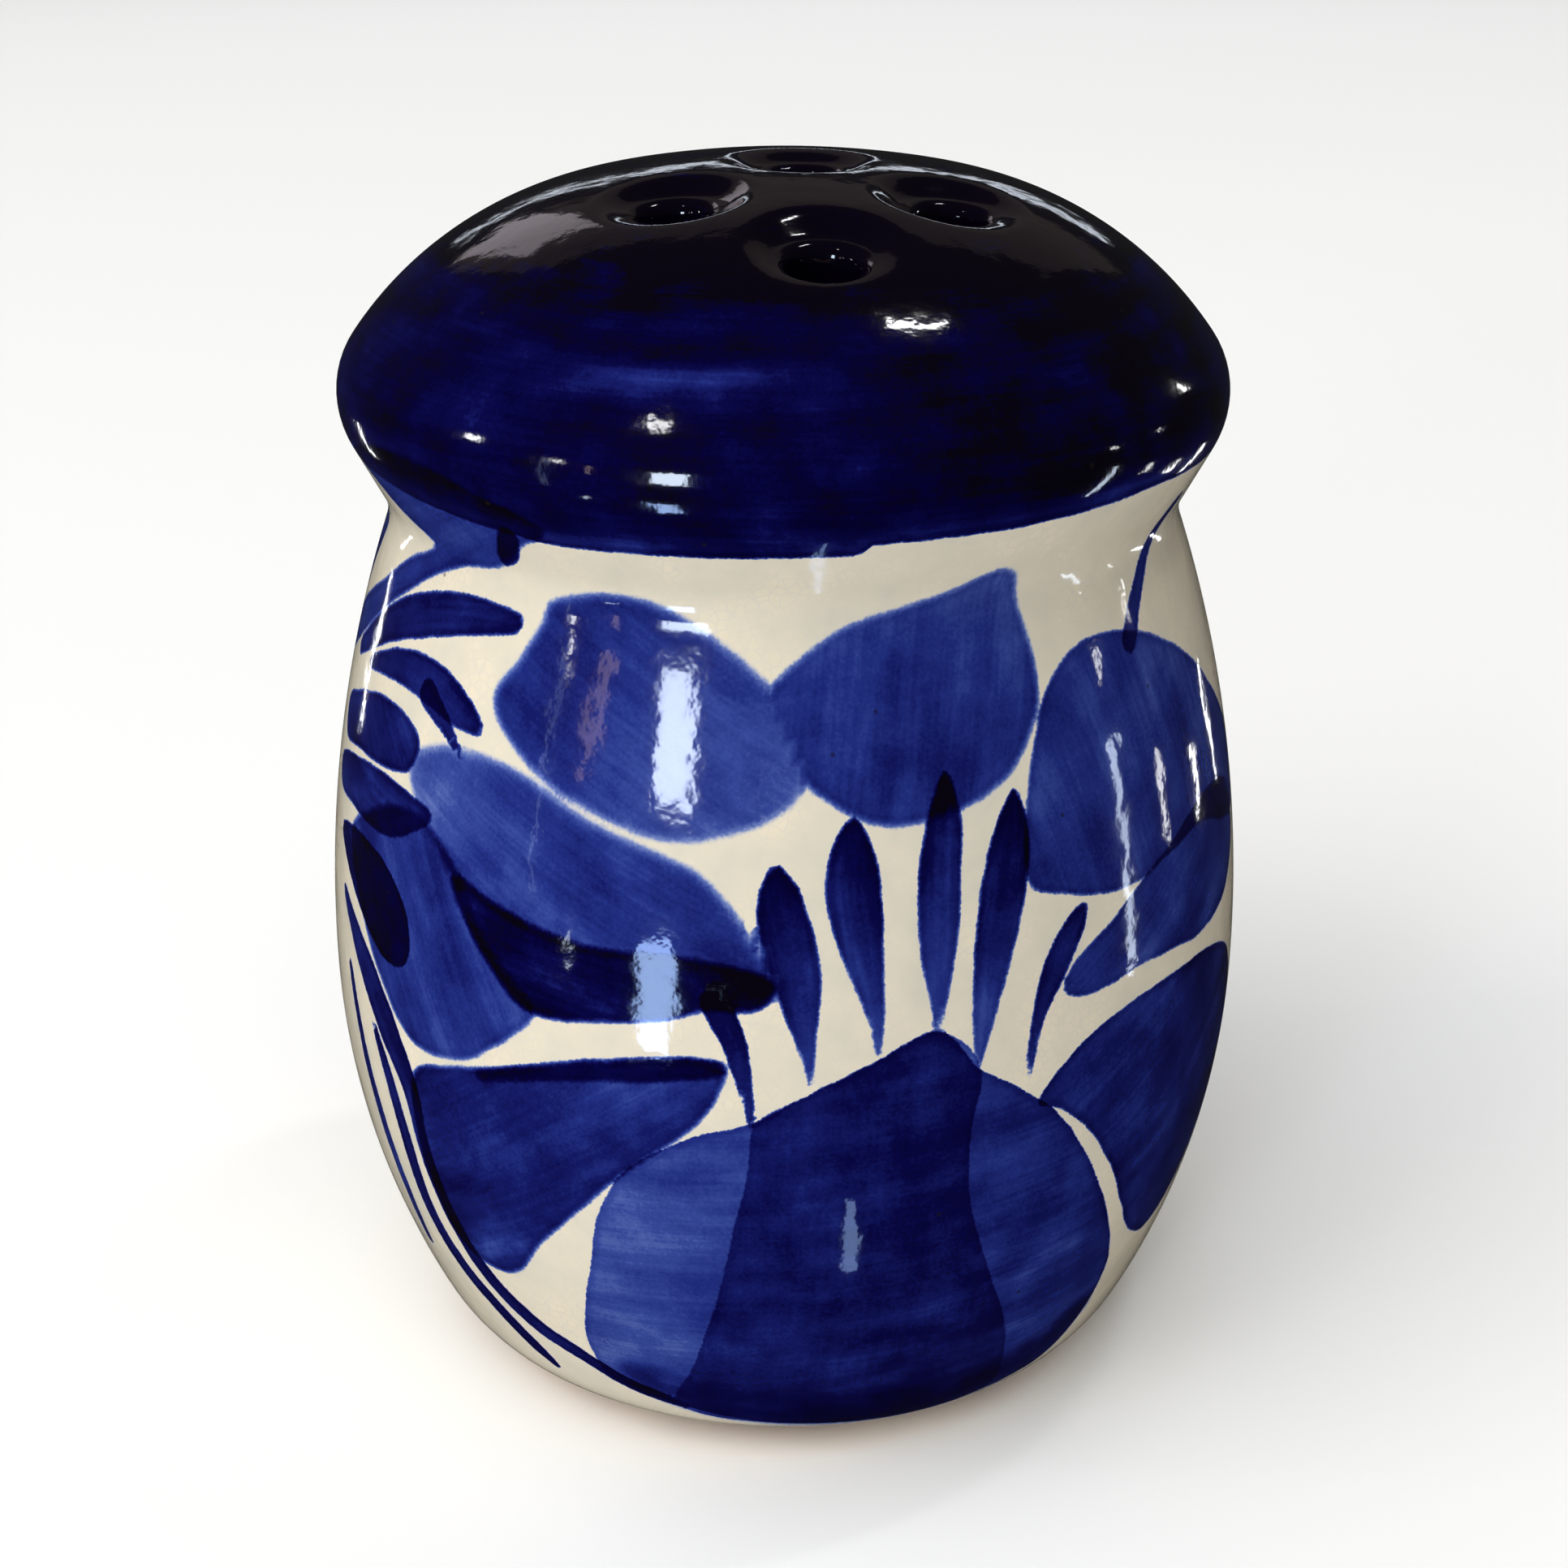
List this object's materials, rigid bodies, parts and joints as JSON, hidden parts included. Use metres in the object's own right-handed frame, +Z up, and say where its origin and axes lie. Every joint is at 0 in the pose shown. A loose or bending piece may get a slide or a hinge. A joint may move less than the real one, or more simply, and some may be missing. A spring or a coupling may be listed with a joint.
{
  "type": "condiment shaker",
  "caption": "Domed earthenware shaker with a waisted neck, pour holes in its top, brush-painted glaze, and a pull-out plug in its recessed base.",
  "frame": {"origin": "centre of the foot, on the table", "axes": "+Z up along the vessel's axis, -Y towards the painted front, +X to its right seen from the front"},
  "size_m": [0.084, 0.084, 0.108],
  "materials": {
    "bare_clay": "matte, fired and unglazed",
    "painted_glaze": "glossy clear glaze over cobalt brushwork on cream",
    "soft_plug": "satin, moulded"
  },
  "bodies": {
    "vessel": {"clay_body": "bare_clay", "glaze_coat": "painted_glaze"},
    "stopper": {"base_stopper": "soft_plug"}
  },
  "joints": [
    {"name": "stopper_pull", "type": "slide", "parent": "vessel", "child": "stopper", "axis": [0, 0, -1], "range_m": [0, 0.025]}
  ]
}
